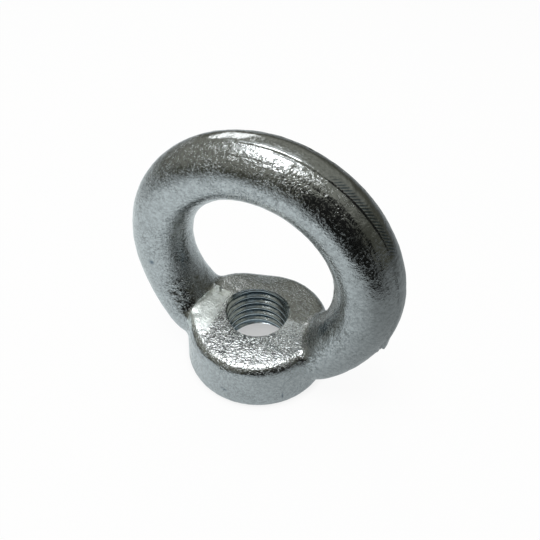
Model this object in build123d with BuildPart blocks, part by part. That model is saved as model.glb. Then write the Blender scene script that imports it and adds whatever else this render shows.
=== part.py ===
from build123d import *
import math
import os

os.makedirs("parts", exist_ok=True)

# ---- driving dimensions, mm; the origin is the centre of the seat, +Z runs up the thread ----
eye_outer_r = 36.1      # outside of the eye, across its width
eye_inner_r = 20.5      # opening of the eye, across its width
eye_sink = 4.3          # the eye's circle, carried on round, would reach this far below the seat
crown_drop = 0.7        # the crown is this much lower than a true circle
crown_rise = 0.4        # the opening is this much taller than a true circle at the crown
bar_crown = 16.2        # thickness of the bar at the crown, across the plane of the eye
bar_leg = 20.4          # thickness of the bar where the legs are widest
bar_foot = 15.0         # thickness of the buried ends of the legs
leg_inner_angle = 30.0  # below the eye's width line, where the inside of the legs turns straight
leg_wide_angle = 45.0   # the same, where the legs are widest
foot_in = 4.55          # the buried ends stay this far inside the boss's side
foot_up = 4.0           # the same, above the seat
seat_r = 20.6           # machined seat of the boss
rim_r = 19.2            # boss at its top, before the rim is rounded
boss_h = 16.8           # seat to the ridge of the boss
roof_angle = 10.0       # fall of the boss top either side of the parting line
forge_round = 3.0       # round on the rim of the boss top, and blend all round the foot of each leg
land_w = 3.0            # width of the sheared flash land around the outside, forward of the parting line
land_out = 0.3          # how far it stands out of the eye
land_in_w = 1.5         # width of the land inside the eye, forward of the parting line
land_in = 0.3           # how far it stands into the opening
land_end_angle = 20.0   # below the eye's width line, where the land ends in a burr
land_fade_angle = 115.0  # from the width line round the crown, where the land was trimmed flush with the bar
bore_r = 8.65           # crest of the M20 thread (minor radius)
top_sink = 0.25         # countersink at the ridge
seat_sink = 0.3         # countersink at the seat
seat_edge = 0.6         # chamfer around the seat

# ---- the eye: a round bar forged into a ring, its legs running down into the boss ----
sections = 17
eye_z = eye_outer_r - eye_sink
leg_end_angle = math.degrees(math.atan2(eye_z - foot_up, seat_r - foot_in))
foot_tuck = eye_outer_r - math.hypot(eye_z - foot_up, seat_r - foot_in)
with BuildPart() as eye:
    for i in range(sections):
        angle = -leg_end_angle + i * (180 + 2 * leg_end_angle) / (sections - 1)
        below = -min(angle, 180 - angle)
        lift = max(0.0, math.sin(math.radians(angle))) ** 2
        foot = max(0.0, (below - leg_wide_angle) / (leg_end_angle - leg_wide_angle))
        outer = eye_outer_r - crown_drop * lift - foot_tuck * foot ** 2
        inner = (eye_inner_r + crown_rise * lift) / math.cos(math.radians(max(0.0, below - leg_inner_angle)))
        spread = min(1.0, (below + 90) / (leg_wide_angle + 90)) ** 6
        thick = bar_crown + (bar_leg - bar_crown) * spread - (bar_leg - bar_foot) * foot
        out = Vector(math.cos(math.radians(angle)), 0, math.sin(math.radians(angle)))
        middle = Vector(0, 0, eye_z) + out * ((outer + inner) / 2)
        with BuildSketch(Plane(origin=middle, x_dir=out, z_dir=out.cross(Vector(0, 1, 0)))):
            Ellipse((outer - inner) / 2, thick / 2)
    loft()

# ---- the boss: a tapered round, its top falling like a roof either side of the parting line ----
with BuildPart() as boss:
    with BuildSketch():
        Circle(seat_r)
    with BuildSketch(Plane.XY.offset(boss_h)):
        Circle(rim_r)
    loft()
    for side in (1, -1):
        with BuildSketch(Plane.YZ):
            with BuildLine():
                Polyline(
                    (0, boss_h),
                    (side * 2 * seat_r, boss_h),
                    (side * 2 * seat_r, boss_h - 2 * seat_r * math.tan(math.radians(roof_angle))),
                    close=True,
                )
            make_face()
        extrude(amount=2 * seat_r, both=True, mode=Mode.SUBTRACT)

# ---- the flash land: flat bands just forward of the parting line, outside and inside the eye ----
far = 2 * eye_outer_r
with BuildPart() as land:
    with BuildSketch(Plane(origin=(0, 0, eye_z), x_dir=(1, 0, 0), z_dir=(0, -1, 0))):
        Ellipse(eye_outer_r + land_out, eye_outer_r + land_out - crown_drop)
        Ellipse(eye_outer_r - land_w, eye_outer_r - land_w - crown_drop, mode=Mode.SUBTRACT)
    extrude(amount=land_w)
    with BuildSketch(Plane(origin=(0, 0, eye_z), x_dir=(1, 0, 0), z_dir=(0, -1, 0))):
        Ellipse(eye_inner_r + land_w, eye_inner_r + land_w + crown_rise)
        Ellipse(eye_inner_r - land_in, eye_inner_r - land_in + crown_rise, mode=Mode.SUBTRACT)
    extrude(amount=land_in_w)
    with BuildSketch(Plane(origin=(0, 0, eye_z), x_dir=(1, 0, 0), z_dir=(0, -1, 0))):
        with BuildLine():
            Polyline(
                (0, 0),
                (far * math.cos(math.radians(land_end_angle)), -far * math.sin(math.radians(land_end_angle))),
                (far, -far),
                (-far, -far),
                (-far, far),
                (far * math.cos(math.radians(land_fade_angle)), far * math.sin(math.radians(land_fade_angle))),
                close=True,
            )
        make_face()
    extrude(amount=2 * land_w, mode=Mode.SUBTRACT)

# ---- the forging: boss and eye blended together, with the land; then the machining ----
with BuildPart() as eye_nut:
    add(boss.part)
    add(eye.part)
    seams = new_edges(boss.part, eye.part, combined=eye_nut.part)
    rims = eye_nut.edges().filter_by(
        lambda ed: boss_h / 2 < ed.center().Z < boss_h and abs(ed.center().Y) > seat_r / 2 and ed not in seams
    )
    fillet(seams + rims, forge_round)
    add(land.part)
    with BuildSketch(Plane.XZ):
        with BuildLine():
            Polyline(
                (0, 0),
                (bore_r + seat_sink, 0),
                (bore_r, seat_sink),
                (bore_r, boss_h - top_sink),
                (bore_r + 2 * top_sink, boss_h + top_sink),
                (0, boss_h + top_sink),
                close=True,
            )
        make_face()
    revolve(axis=Axis.Z, mode=Mode.SUBTRACT)
    with BuildSketch(Plane.XZ):
        with BuildLine():
            Polyline(
                (seat_r - seat_edge, 0),
                (seat_r + seat_edge, 0),
                (seat_r + seat_edge, 2 * seat_edge),
                close=True,
            )
        make_face()
    revolve(axis=Axis.Z, mode=Mode.SUBTRACT)

eye_nut.part.label = "eye_nut"
export_step(eye_nut.part, "parts/eye_nut.step")
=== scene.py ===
import bpy
import math
from mathutils import Matrix, Vector, noise
from mathutils.bvhtree import BVHTree


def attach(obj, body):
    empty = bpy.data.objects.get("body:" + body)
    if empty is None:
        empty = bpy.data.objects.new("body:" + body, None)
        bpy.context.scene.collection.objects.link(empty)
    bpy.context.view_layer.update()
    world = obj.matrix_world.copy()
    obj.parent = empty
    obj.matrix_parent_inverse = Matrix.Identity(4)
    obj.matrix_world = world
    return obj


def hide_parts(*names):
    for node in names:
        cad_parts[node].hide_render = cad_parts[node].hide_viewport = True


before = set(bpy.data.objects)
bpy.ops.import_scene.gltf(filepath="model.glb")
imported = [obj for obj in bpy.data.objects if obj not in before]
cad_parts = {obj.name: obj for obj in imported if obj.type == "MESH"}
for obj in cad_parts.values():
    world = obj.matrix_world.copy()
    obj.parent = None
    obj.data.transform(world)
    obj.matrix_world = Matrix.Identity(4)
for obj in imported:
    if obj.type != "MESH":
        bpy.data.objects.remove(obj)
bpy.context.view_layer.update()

# ---- Eye nut forging ----
# One drop forging in low-carbon steel: a ring of round bar whose legs run into a drafted boss.
# The two dies met on the ring's own plane, y = 0. The copy of the solid is remeshed evenly, so
# that the skin of the forging can be worked as real shape.
boss_h = 0.0168
roof_fall = math.tan(math.radians(10))
plug_r = 0.0093
mesh_step = 0.00045
bpy.ops.object.select_all(action="DESELECT")
cad_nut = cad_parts["eye_nut"]
nut = cad_nut.copy()
nut.data = cad_nut.data.copy()
nut.name = "forged_eye_nut"
nut.parent = None
bpy.context.scene.collection.objects.link(nut)
nut.select_set(True)
bpy.context.view_layer.objects.active = nut
bpy.ops.object.mode_set(mode="EDIT")
bpy.ops.mesh.select_all(action="SELECT")
bpy.ops.mesh.remove_doubles(threshold=1e-6)
bpy.ops.object.mode_set(mode="OBJECT")

# The plain bore is filled up to the roof of the boss first, so that the tap cuts a clean mouth.
bpy.ops.object.select_all(action="DESELECT")
bpy.ops.mesh.primitive_cylinder_add(vertices=64, radius=plug_r, depth=boss_h, location=(0, 0, boss_h / 2))
plug = bpy.context.object
bpy.ops.object.transform_apply(location=True)
bpy.ops.object.mode_set(mode="EDIT")
bpy.ops.mesh.select_all(action="SELECT")
bpy.ops.mesh.bisect(plane_co=(0, 0, 0), plane_no=(0, 1, 0))
bpy.ops.object.mode_set(mode="OBJECT")
for v in plug.data.vertices:
    if v.co.z > boss_h / 2:
        v.co.z = boss_h - abs(v.co.y) * roof_fall
nut.select_set(True)
bpy.context.view_layer.objects.active = nut
bpy.ops.object.join()
grid = nut.modifiers.new("even_grid", "REMESH")
grid.mode = "VOXEL"
grid.voxel_size = mesh_step
bpy.ops.object.modifier_apply(modifier="even_grid")
even = nut.modifiers.new("even_out", "SMOOTH")
even.factor = 0.5
even.iterations = 3
bpy.ops.object.modifier_apply(modifier="even_out")

# The chamfer around the seat was turned, so it is evened out further than the forged skin.
seat_edge_h = 0.0012
seat_edge_r = 0.0192
seat_ring = []
for v in nut.data.vertices:
    if v.co.z < seat_edge_h and math.hypot(v.co.x, v.co.y) > seat_edge_r:
        seat_ring.append(v.index)
nut.vertex_groups.new(name="seat_edge").add(seat_ring, 1.0, "REPLACE")
turned = nut.modifiers.new("turned_edge", "SMOOTH")
turned.factor = 0.5
turned.iterations = 12
turned.vertex_group = "seat_edge"
bpy.ops.object.modifier_apply(modifier="turned_edge")

# The rim at the back of the boss was forged lower. On the left the roof climbs towards the leg and
# meets it in a sharp corner, and it runs on past its ridge as a small tongue. The left foot is
# scaly, and there are a few dents, each given by its place, width, height and depth.
low_rim = (-0.0065, 0.0178)
low_rim_wide = 0.0080
low_rim_long = 0.0052
low_rim_drop = 0.0013
low_rim_foot = 0.008
low_rim_back = 0.004
climb_x = -0.0090
climb = 0.12
corner_y = -0.0105
tongue_y = 0.0027
tongue_climb = 1.3
scale_relief = 0.00018
scale_loss = 0.00004
dent_reach = 0.002
dents = [
    (-0.0272, -0.0082, 0.0297, 0.0006, 0.0006, 0.00022),
    (-0.0002, -0.0202, 0.0045, 0.0006, 0.0003, 0.00040),
    (-0.0010, -0.0202, 0.0049, 0.0004, 0.0003, 0.00030),
    (0.0141, -0.0146, 0.0035, 0.0002, 0.0010, 0.00008),
]


def clamp(share):
    return min(1.0, max(0.0, share))


def right_of_corner(x, y):
    return x + 0.01467 - 0.2385 * y


def scaly_foot(x, z):
    return math.exp(-(((x + 0.0205) / 0.0030) ** 2) - ((z - 0.0200) / 0.0045) ** 2)


outward = [v.normal.copy() for v in nut.data.vertices]
for v, normal in zip(nut.data.vertices, outward):
    x, y, z = v.co
    if z > low_rim_foot and y > low_rim_back:
        away = ((x - low_rim[0]) / low_rim_wide) ** 2 + ((y - low_rim[1]) / low_rim_long) ** 2
        v.co.z -= low_rim_drop * math.exp(-away) * min(1.0, (z - low_rim_foot) / 0.004)
    roof = boss_h - abs(y) * roof_fall + climb * max(0.0, climb_x - x)
    corner = right_of_corner(x, y)
    if corner_y < y < 0.0030 and x < -0.0100 and 0.0 < z - roof < 0.0026:
        press = clamp(corner / 0.0006 + 0.5) * min(1.0, (y - corner_y) / 0.0015)
        v.co.z += (roof - z) * press
    elif y < 0 and x < climb_x and corner > 0 and abs(z - roof) < 0.0015:
        v.co.z += climb * (climb_x - x) * clamp((y + 0.0160) / 0.0055)
    if 0.0 < y < tongue_y and -0.0160 < x < -0.0119 - 0.5 * y and z > 0.0150:
        v.co.z = max(v.co.z, boss_h + y * roof_fall * tongue_climb)
    scaly = scaly_foot(x, z)
    if y < -0.0030 and scaly > 0.05:
        v.co += normal * scaly * (noise.noise(v.co * 900) * scale_relief - scale_loss)
    for dx, dy, dz, wide, tall, deep in dents:
        flat = (x - dx) ** 2 + (y - dy) ** 2
        if flat < dent_reach**2:
            v.co -= normal * deep * math.exp(-flat / wide**2 - ((z - dz) / tall) ** 2)

# ---- Flash land ----
# The flash squeezed out between the dies was sheared off all round the eye. On one half of the
# eye the shear left a flat band just forward of the parting line, with a crease along its front
# edge, slanted tool marks across the shoulder, a rolled lip before the crown and a burr at its foot.
eye_z = 0.0318
eye_r = 0.0361
crown_drop = 0.0007
bar_mid_r = 0.0283
bar_half_w = 0.0078
bar_half_t = 0.0081
bar_swell = 0.0021


def bar_r(turn, y):
    below = -min(turn, 180 - turn)
    half = bar_half_t + bar_swell * min(1.0, (below + 90) / 135) ** 6
    lift = max(0.0, math.sin(math.radians(turn))) ** 2
    return bar_mid_r + bar_half_w * math.sqrt(max(0.0, 1 - (y / half) ** 2)) - crown_drop * lift


# Angles here are degrees around the eye, from its width line on the right up over the crown.
land_start = -17.0
land_stop = 114.0
land_steps = 524
land_fade = 30.0
sunk_end = 0.0003
burr_h = 0.0006
burr_length = 7.0
lip_h = 0.00020
lip_turn = 79.0
lip_y = -0.00385
blunt_turn = 34.0
tick_start = 28.0
tick_stop = 64.0
tick_pitch = 1.35
tick_slant = 1500.0
tick_depth = 0.00013


def tick(turn, y):
    stripe = (turn + y * tick_slant) / tick_pitch
    ends = clamp((turn - tick_start) / 4.0) * clamp((tick_stop - turn) / 6.0)
    sides = clamp((-0.0010 - y) / 0.0008) * clamp((y + 0.0030) / 0.0004)
    return ends * sides * (0.5 + 0.5 * math.cos(2 * math.pi * stripe)) ** 2


# The section of the band: its place across the bar, and its height over the bar's own round.
rise = [
    (0.00440, -0.00120),
    (0.00360, -0.00003),
    (0.00260, 0.00004),
    (0.00160, 0.00013),
    (0.00090, 0.00020),
    (0.00040, 0.00023),
    (0.00000, 0.00025),
    (-0.00040, 0.00026),
    (-0.00065, 0.00026),
    (-0.00090, 0.00026),
    (-0.00110, 0.00025),
    (-0.00130, 0.00025),
    (-0.00150, 0.00025),
    (-0.00170, 0.00024),
    (-0.00190, 0.00025),
    (-0.00210, 0.00026),
    (-0.00230, 0.00026),
    (-0.00250, 0.00026),
    (-0.00270, 0.00026),
    (-0.00285, 0.00020),
    (-0.00298, 0.00006),
    (-0.00312, -0.00003),
    (-0.00330, -0.00002),
    (-0.00355, 0.00002),
    (-0.00380, 0.00003),
    (-0.00405, 0.00003),
    (-0.00430, 0.00003),
    (-0.00490, 0.00002),
    (-0.00560, -0.00003),
    (-0.00640, -0.00120),
]
bpy.ops.object.select_all(action="DESELECT")
bpy.ops.mesh.primitive_circle_add(vertices=len(rise), location=(0, 0, 0))
land = bpy.context.object
for v, (y, height) in zip(land.data.vertices, rise):
    r = eye_r + height
    v.co = (r * math.cos(math.radians(land_start)), y, eye_z + r * math.sin(math.radians(land_start)))
bpy.ops.object.mode_set(mode="EDIT")
bpy.ops.mesh.select_all(action="SELECT")
sweep = math.radians(land_stop - land_start)
bpy.ops.mesh.spin(steps=land_steps, angle=sweep, center=(0, 0, eye_z), axis=(0, 1, 0))
bpy.ops.mesh.select_all(action="SELECT")
bpy.ops.mesh.fill_holes(sides=0)
bpy.ops.mesh.normals_make_consistent(inside=False)
bpy.ops.object.mode_set(mode="OBJECT")

# The band is laid on the bar, and on the worked skin either side of it.
skin_faces = [p.vertices for p in nut.data.polygons]
skin_tree = BVHTree.FromPolygons([v.co for v in nut.data.vertices], skin_faces)
heights = {round(y * 1e6): height for y, height in rise}
for v in land.data.vertices:
    y = v.co.y
    height = heights[round(y * 1e6)]
    angle = math.atan2(v.co.z - eye_z, v.co.x)
    turn = math.degrees(angle)
    if -0.0036 < y < -0.0026:
        slope = 0.00002 + 0.00024 * min(1.0, (y + 0.0036) / 0.0010)
        height += (slope - height) * clamp((blunt_turn - turn) / 12.0)
    if height > -0.001:
        height *= min(1.0, (land_stop - turn) / land_fade)
    if -0.0029 < y < 0.0010:
        height += burr_h * max(0.0, 1 - (turn - land_start) / burr_length) ** 2
    lip = lip_h * math.exp(-(((turn - lip_turn) / 7.0) ** 4)) * math.exp(-(((y - lip_y) / 0.00038) ** 2))
    sunk = sunk_end * max(0.0, 1 - (land_stop - turn) / 2.0)
    height += lip - tick_depth * tick(turn, y) - sunk
    outwards = Vector((math.cos(angle), 0, math.sin(angle)))
    middle = Vector((0, y, eye_z))
    r = bar_r(turn, y)
    if not -0.0032 < y < 0.0012:
        r = (skin_tree.ray_cast(middle + outwards * 0.05, -outwards)[0] - middle).length
    v.co = middle + outwards * (r + height)

# The remeshed skin is drawn in under the band, which then carries the surface alone.
for v in nut.data.vertices:
    up = v.co.z - eye_z
    turn = math.degrees(math.atan2(up, v.co.x))
    r = math.hypot(up, v.co.x)
    y = v.co.y
    if land_start - 3 < turn < 120.0 and r > 0.0325 and -0.0062 < y < 0.0041:
        want = min(r, bar_r(turn, y)) if -0.0036 < y < 0.0012 else r
        under = 0.00014 if -0.0038 < y < -0.0023 else 0.00005 * min(1.0, (y + 0.0062) / 0.0010)
        want -= under * clamp((land_stop - turn) / 3.0) * clamp((turn - land_start) / 0.5)
        v.co.x *= want / r
        v.co.z = eye_z + up * want / r
join = nut.modifiers.new("joining", "BOOLEAN")
join.operation = "UNION"
join.solver = "EXACT"
join.object = land
bpy.ops.object.select_all(action="DESELECT")
nut.select_set(True)
bpy.context.view_layer.objects.active = nut
bpy.ops.object.modifier_apply(modifier="joining")
bpy.data.objects.remove(land)

# The skin left by the dies and the scale is faintly uneven everywhere but on the machined seat.
seat_skin = 0.0008
swell = 0.00007
ripple = 0.00004
outward = [v.normal.copy() for v in nut.data.vertices]
for v, normal in zip(nut.data.vertices, outward):
    if v.co.z > seat_skin:
        v.co += normal * (noise.noise(v.co * 330) * swell + noise.noise(v.co * 900) * ripple)

# ---- Thread ----
# M20 x 2.5 internal thread, tapped right through after forging, with walls painted lighter as painted
# light and roots painted darker as painted shade.
# One turn of its profile is wound into a solid tap, which is then cut out of the nut.
thread_pitch = 0.0025
thread_turns = 10
thread_start = -0.004
thread_crest_r = 0.00865
thread_root_r = 0.0101
crest_edge_r = thread_crest_r + 0.00020
crest_round_r = thread_crest_r + 0.00007
runout_r = 0.0089
runout_h = 0.0163
profile = [
    (0.00, crest_edge_r),
    (0.04, crest_round_r),
    (0.13, thread_crest_r),
    (0.22, crest_round_r),
    (0.26, crest_edge_r),
    (0.54, thread_root_r),
    (0.72, thread_root_r),
    (1.00, crest_edge_r),
]
bpy.ops.object.select_all(action="DESELECT")
bpy.ops.mesh.primitive_circle_add(vertices=len(profile), location=(0, 0, 0))
tap = bpy.context.object
for v, (z, r) in zip(tap.data.vertices, profile):
    v.co = (r, 0, thread_start + thread_pitch * z)
for edge in tap.data.edges:
    edge.select = sorted(edge.vertices) == [0, len(profile) - 1]
for v in tap.data.vertices:
    v.select = v.index in (0, len(profile) - 1)
bpy.ops.object.mode_set(mode="EDIT")
bpy.ops.mesh.select_mode(type="EDGE")
bpy.ops.mesh.delete(type="EDGE")
bpy.ops.object.mode_set(mode="OBJECT")
winding = tap.modifiers.new("turns", "SCREW")
winding.axis = "Z"
winding.screw_offset = thread_pitch
winding.iterations = thread_turns
winding.steps = 72
winding.render_steps = 72
winding.use_merge_vertices = True
winding.merge_threshold = 1e-6
winding.use_normal_calculate = True
bpy.ops.object.modifier_apply(modifier="turns")
bpy.ops.object.mode_set(mode="EDIT")
bpy.ops.mesh.select_all(action="SELECT")
bpy.ops.mesh.remove_doubles(threshold=1e-6)
bpy.ops.object.mode_set(mode="OBJECT")
for end in (1, -1):
    bpy.ops.object.mode_set(mode="EDIT")
    bpy.ops.mesh.select_all(action="DESELECT")
    bpy.ops.mesh.select_mode(type="EDGE")
    bpy.ops.mesh.select_non_manifold()
    bpy.ops.object.mode_set(mode="OBJECT")
    middle = sum(v.co.z for v in tap.data.vertices) / len(tap.data.vertices)
    for edge in tap.data.edges:
        edge_z = sum(tap.data.vertices[i].co.z for i in edge.vertices) / 2
        if edge.select and (edge_z - middle) * end < 0:
            edge.select = False
    bpy.ops.object.mode_set(mode="EDIT")
    bpy.ops.mesh.extrude_region_move()
    bpy.ops.mesh.merge(type="CENTER")
    bpy.ops.object.mode_set(mode="OBJECT")
bpy.ops.object.mode_set(mode="EDIT")
bpy.ops.mesh.select_all(action="SELECT")
bpy.ops.mesh.normals_make_consistent(inside=False)
bpy.ops.object.mode_set(mode="OBJECT")

# The last groove runs out just under the roof of the boss and leaves a plain lip around the mouth.
for v in tap.data.vertices:
    r = math.hypot(v.co.x, v.co.y)
    if r > 0.001 and v.co.z > runout_h - abs(v.co.y) * roof_fall:
        v.co.x *= runout_r / r
        v.co.y *= runout_r / r
cut = nut.modifiers.new("tapping", "BOOLEAN")
cut.operation = "DIFFERENCE"
cut.solver = "EXACT"
cut.object = tap
bpy.ops.object.select_all(action="DESELECT")
nut.select_set(True)
bpy.context.view_layer.objects.active = nut
bpy.ops.object.modifier_apply(modifier="tapping")
bpy.data.objects.remove(tap)
bpy.ops.object.shade_smooth_by_angle(angle=math.radians(40))

# ---- Zinc ----
# Bright electroplated zinc over the whole nut: a fine orange-peel grain in changing patches,
# smoother where the shear and the tap cut the steel, painted shade in dull blue in the tool marks,
# dents and thread roots, painted light on the bore walls, and frosted where the roof climbs
# towards the left leg.
crown_smooth = 0.45
shear_smooth = 0.75
lip_smooth = 0.8
bore_smooth = 0.9
cut_bore_r = 0.0103
cut_bore_h = 0.0164
worked = []
painted_hollow_shade = []
frosted = []
for v in nut.data.vertices:
    x, y, z = v.co
    turn = math.degrees(math.atan2(z - eye_z, x))
    r = math.hypot(z - eye_z, x)
    bore = math.hypot(x, y)
    smooth = crown_smooth * clamp((x - 0.006) / 0.010) if z > 0.030 and y < 0 else 0.0
    # Painted shade, dull blue, goes into the tool marks, the thread roots and the dents.
    hollow_shade = 0.0
    if land_start < turn < land_stop and r > 0.0345 and -0.0031 < y < 0.0020:
        smooth = shear_smooth
        hollow_shade = min(1.0, 1.4 * tick(turn, y))
    if 70.0 < turn < 88.0 and r > 0.0335 and -0.0043 < y < -0.0034:
        smooth = lip_smooth
    # In the bore the walls get painted light and the roots painted shade, darker with depth.
    if bore < cut_bore_r and z < cut_bore_h - abs(y) * roof_fall:
        smooth = bore_smooth
        hollow_shade = clamp((bore - thread_crest_r) / 0.0016)
    if y < -0.0030:
        smooth -= scaly_foot(x, z)
    for dx, dy, dz, wide, tall, deep in dents:
        hollow_shade = max(hollow_shade, math.exp(-((x - dx) ** 2 + (y - dy) ** 2) / wide**2 - ((z - dz) / tall) ** 2))
    on_roof = right_of_corner(x, y) > -0.0003 and y < 0.0028 and 0.0130 < z < 0.0185
    frosted.append(clamp((-0.0085 - x) / 0.0020) * clamp((y + 0.0135) / 0.0030) if on_roof else 0.0)
    worked.append(smooth)
    painted_hollow_shade.append(hollow_shade)
for name, values in (("worked", worked), ("painted_hollow_shade", painted_hollow_shade), ("frosted", frosted)):
    nut.data.attributes.new(name, "FLOAT", "POINT").data.foreach_set("value", values)


def remap(tree, value, low, high, to_low, to_high, ease="LINEAR"):
    node = tree.nodes.new("ShaderNodeMapRange")
    node.interpolation_type = ease
    node.inputs["From Min"].default_value = low
    node.inputs["From Max"].default_value = high
    node.inputs["To Min"].default_value = to_low
    node.inputs["To Max"].default_value = to_high
    tree.links.new(value, node.inputs["Value"])
    return node.outputs[0]


def calculate(tree, operation, first, second):
    node = tree.nodes.new("ShaderNodeMath")
    node.operation = operation
    for socket, value in zip(node.inputs, (first, second)):
        if isinstance(value, float):
            socket.default_value = value
        else:
            tree.links.new(value, socket)
    return node.outputs[0]


def grains(tree, scale, detail, rough):
    node = tree.nodes.new("ShaderNodeTexNoise")
    node.inputs["Scale"].default_value = scale
    node.inputs["Detail"].default_value = detail
    node.inputs["Roughness"].default_value = rough
    where = tree.nodes.new("ShaderNodeTexCoord")
    tree.links.new(where.outputs["Object"], node.inputs["Vector"])
    return node.outputs["Fac"]


def laid_over(tree, share, under, colour):
    node = tree.nodes.new("ShaderNodeMix")
    node.data_type = "RGBA"
    node.inputs["B"].default_value = colour
    tree.links.new(share, node.inputs["Factor"])
    tree.links.new(under, node.inputs["A"])
    return node.outputs["Result"]


def spread_of(tree, name):
    node = tree.nodes.new("ShaderNodeAttribute")
    node.attribute_name = name
    return node.outputs["Fac"]


zinc = bpy.data.materials.new("bright_zinc")
zinc.use_nodes = True
tree = zinc.node_tree
shader = tree.nodes["Principled BSDF"]
shader.inputs["Metallic"].default_value = 1.0
cut_share = spread_of(tree, "worked")
frost_share = spread_of(tree, "frosted")
painted_bore_light = remap(tree, cut_share, 0.84, 0.89, 0.0, 0.5)
plain = tree.nodes.new("ShaderNodeRGB")
plain.outputs[0].default_value = (0.41, 0.43, 0.435, 1)
# Painted shade: dark blue laid into the tool marks, thread roots and dents.
colour = laid_over(tree, spread_of(tree, "painted_hollow_shade"), plain.outputs[0], (0.05, 0.09, 0.13, 1))
# Painted light: the bore walls are made lighter and bluer.
colour = laid_over(tree, painted_bore_light, colour, (0.62, 0.70, 0.74, 1))
colour = laid_over(tree, frost_share, colour, (0.74, 0.79, 0.78, 1))
mottled = tree.nodes.new("ShaderNodeVectorMath")
mottled.operation = "SCALE"
tree.links.new(colour, mottled.inputs[0])
tree.links.new(remap(tree, grains(tree, 1300, 4, 0.7), 0.35, 0.60, 0.80, 1.10), mottled.inputs["Scale"])
tree.links.new(mottled.outputs["Vector"], shader.inputs["Base Color"])
tree.links.new(remap(tree, frost_share, 0.0, 1.0, 0.12, 0.36), shader.inputs["Roughness"])

# The grain is strongest on the raw skin, changes in patches, and fades where the steel was cut.
patches = remap(tree, grains(tree, 190, 2, 0.5), 0.35, 0.65, 0.45, 1.0)
raw_share = calculate(tree, "MULTIPLY", calculate(tree, "SUBTRACT", 1.0, cut_share), patches)
peel = tree.nodes.new("ShaderNodeBump")
peel.inputs["Distance"].default_value = 0.00016
tree.links.new(raw_share, peel.inputs["Strength"])
tree.links.new(grains(tree, 2000, 2, 0.5), peel.inputs["Height"])
pits = tree.nodes.new("ShaderNodeBump")
pits.inputs["Distance"].default_value = 0.00006
tree.links.new(raw_share, pits.inputs["Strength"])
pit_floor = remap(tree, grains(tree, 1800, 4, 0.7), 0.52, 0.66, 1.0, 0.0, "SMOOTHSTEP")
tree.links.new(pit_floor, pits.inputs["Height"])
tree.links.new(peel.outputs["Normal"], pits.inputs["Normal"])
tree.links.new(pits.outputs["Normal"], shader.inputs["Normal"])
nut.data.materials.clear()
nut.data.materials.append(zinc)
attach(nut, "root")
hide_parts("eye_nut")

# ---- Floor ----
# A sheet of white paper under the nut. It reads as plain white around the nut and greyer down
# through the bore, a painted shade. Mirrored in the zinc it is bluish and bright on the left and
# falls off to the right and far away, a painted shade and tint in the reflection.
bpy.ops.object.select_all(action="DESELECT")
bpy.ops.mesh.primitive_plane_add(size=3.0, location=(0, 0, 0))
floor = bpy.context.object
floor.name = "floor"
paper = bpy.data.materials.new("pale_floor")
paper.use_nodes = True
tree = paper.node_tree
tree.nodes.clear()
out = tree.nodes.new("ShaderNodeOutputMaterial")
matt = tree.nodes.new("ShaderNodeBsdfDiffuse")
matt.inputs["Color"].default_value = (0.9, 0.9, 0.9, 1)
glow = tree.nodes.new("ShaderNodeEmission")
seen = tree.nodes.new("ShaderNodeLightPath")
spot = tree.nodes.new("ShaderNodeTexCoord")
across = tree.nodes.new("ShaderNodeVectorMath")
across.operation = "DOT_PRODUCT"
across.inputs[1].default_value = (0.93, 0.36, 0)
tree.links.new(spot.outputs["Object"], across.inputs[0])
out_from_nut = tree.nodes.new("ShaderNodeVectorMath")
out_from_nut.operation = "LENGTH"
tree.links.new(spot.outputs["Object"], out_from_nut.inputs[0])
# Painted shade in the zinc's mirror image: the floor's glow for glossy rays falls off to the right and
# far from the nut.
fall = remap(tree, across.outputs["Value"], -0.05, 0.07, 1.06, 0.31, "SMOOTHSTEP")
edge = remap(tree, out_from_nut.outputs["Value"], 0.10, 0.35, 1.0, 0.35, "SMOOTHSTEP")
dim = tree.nodes.new("ShaderNodeMix")
dim.data_type = "FLOAT"
dim.inputs["A"].default_value = 1.0
tree.links.new(seen.outputs["Is Glossy Ray"], dim.inputs["Factor"])
tree.links.new(calculate(tree, "MULTIPLY", fall, edge), dim.inputs["B"])
tree.links.new(dim.outputs[0], glow.inputs["Strength"])
white = tree.nodes.new("ShaderNodeRGB")
white.outputs[0].default_value = (1, 1, 1, 1)
# Painted reflection tint: the floor glows a little bluish in the zinc.
bluish = laid_over(tree, seen.outputs["Is Glossy Ray"], white.outputs[0], (0.90, 0.98, 1, 1))
tree.links.new(bluish, glow.inputs["Color"])
# Painted shade: the glow is lowered in a disc under the nut, so the floor shows greyer through the bore.
painted_shade_under_nut = remap(tree, out_from_nut.outputs["Value"], 0.012, 0.022, 0.38, 0.95)
viewed = calculate(tree, "MULTIPLY", seen.outputs["Is Camera Ray"], painted_shade_under_nut)
mirrored = calculate(tree, "MULTIPLY", seen.outputs["Is Glossy Ray"], 0.9)
mix = tree.nodes.new("ShaderNodeMixShader")
tree.links.new(calculate(tree, "MAXIMUM", viewed, mirrored), mix.inputs[0])
tree.links.new(matt.outputs[0], mix.inputs[1])
tree.links.new(glow.outputs[0], mix.inputs[2])
tree.links.new(mix.outputs[0], out.inputs["Surface"])
floor.data.materials.append(paper)

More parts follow.
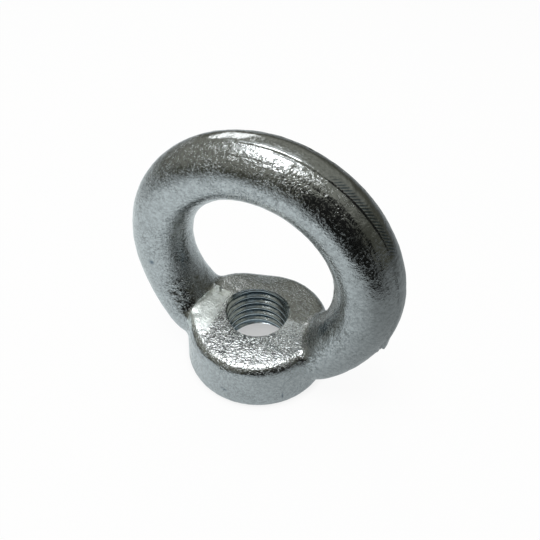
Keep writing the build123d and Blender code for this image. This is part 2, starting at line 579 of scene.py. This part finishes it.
# ---- Light ----
# A plain studio: a soft lamp nearly overhead, a weaker one behind, grey surroundings that brighten
# towards the top, and a black flag with a black apron beside the camera.
aim = Vector((0, 0, 0.03))
lamp_distance = 0.6
world = bpy.data.worlds.new("studio")
bpy.context.scene.world = world
world.use_nodes = True
tree = world.node_tree
sky = tree.nodes["Background"]
around = tree.nodes.new("ShaderNodeTexCoord")
overhead = tree.nodes.new("ShaderNodeVectorMath")
overhead.operation = "DOT_PRODUCT"
overhead.inputs[1].default_value = Vector((-0.20, 0.10, 0.97)).normalized()
tree.links.new(around.outputs["Generated"], overhead.inputs[0])
ramp = tree.nodes.new("ShaderNodeValToRGB")
ramp.color_ramp.interpolation = "EASE"
ramp.color_ramp.elements[0].position = 0.20
ramp.color_ramp.elements[0].color = (0.10, 0.10, 0.08, 1)
ramp.color_ramp.elements[1].position = 0.94
ramp.color_ramp.elements[1].color = (1.05, 1.08, 1.05, 1)
for height in (0.55, 0.86):
    grey = ramp.color_ramp.elements.new(height)
    grey.color = (0.33, 0.33, 0.33 * 0.87, 1)
tree.links.new(overhead.outputs["Value"], ramp.inputs[0])
paths = tree.nodes.new("ShaderNodeLightPath")
backdrop = laid_over(tree, paths.outputs["Is Camera Ray"], ramp.outputs[0], (1, 1, 1, 1))
tree.links.new(backdrop, sky.inputs["Color"])

lamp_data = bpy.data.lights.new("soft_lamp", "AREA")
lamp_data.shape = "DISK"
lamp_data.size = 0.32
lamp_data.energy = 1.8
lamp = bpy.data.objects.new("soft_lamp", lamp_data)
bpy.context.scene.collection.objects.link(lamp)
lamp.rotation_euler = (math.radians(6), math.radians(-6), 0)
lamp.location = aim + lamp.rotation_euler.to_matrix() @ Vector((0, 0, lamp_distance))

rim_data = bpy.data.lights.new("back_lamp", "AREA")
rim_data.shape = "DISK"
rim_data.size = 0.24
rim_data.energy = 0.30
rim = bpy.data.objects.new("back_lamp", rim_data)
bpy.context.scene.collection.objects.link(rim)
toward = Vector((-0.55, 0.66, 0.52)).normalized()
rim.location = aim + toward * lamp_distance
rim.rotation_euler = toward.to_track_quat("Z", "Y").to_euler()

black = bpy.data.materials.new("black_cloth")
black.use_nodes = True
black.node_tree.nodes["Principled BSDF"].inputs["Base Color"].default_value = (0.01, 0.01, 0.009, 1)
black.node_tree.nodes["Principled BSDF"].inputs["Roughness"].default_value = 0.9
flag_turn = math.radians(34)
side = Vector((math.sin(flag_turn), -math.cos(flag_turn), 0.0))
bpy.ops.mesh.primitive_plane_add(size=1.0)
flag = bpy.context.object
flag.name = "black_flag"
flag.visible_camera = False
flag.data.materials.append(black)
flag.scale = (0.32, 0.31, 1)
flag.location = side * 0.26 + Vector((0, 0, 0.157))
flag.rotation_euler = (-side).to_track_quat("Z", "Y").to_euler()

bpy.ops.mesh.primitive_plane_add(size=1.0)
apron = bpy.context.object
apron.name = "black_apron"
apron.visible_camera = False
apron.data.materials.append(black)
apron.scale = (0.24, 0.15, 1)
apron.location = side * 0.185 + Vector((0, 0, 0.001))
apron.rotation_euler = (0, 0, flag_turn)

# ---- Camera ----
# A near, fairly wide view from the front right, looking down into the bore. The turn is measured
# from the front of the nut, and the height from the seat.
camera_turn = math.radians(25.14)
camera_height = math.radians(42.83)
camera_roll = math.radians(0.31)
camera_distance = 0.11605
camera_data = bpy.data.cameras.new("camera")
camera_data.lens = 30.22
camera_data.shift_x = 0.0216
camera_data.shift_y = 0.0050
camera_data.clip_start = 0.01
camera = bpy.data.objects.new("camera", camera_data)
bpy.context.scene.collection.objects.link(camera)
aimed = (
    Matrix.Rotation(camera_turn, 4, "Z")
    @ Matrix.Rotation(math.radians(90) - camera_height, 4, "X")
    @ Matrix.Rotation(camera_roll, 4, "Z")
)
camera.matrix_world = Matrix.Translation(aim + aimed.to_3x3() @ Vector((0, 0, camera_distance))) @ aimed
bpy.context.scene.camera = camera
bpy.context.scene.view_settings.view_transform = "Standard"
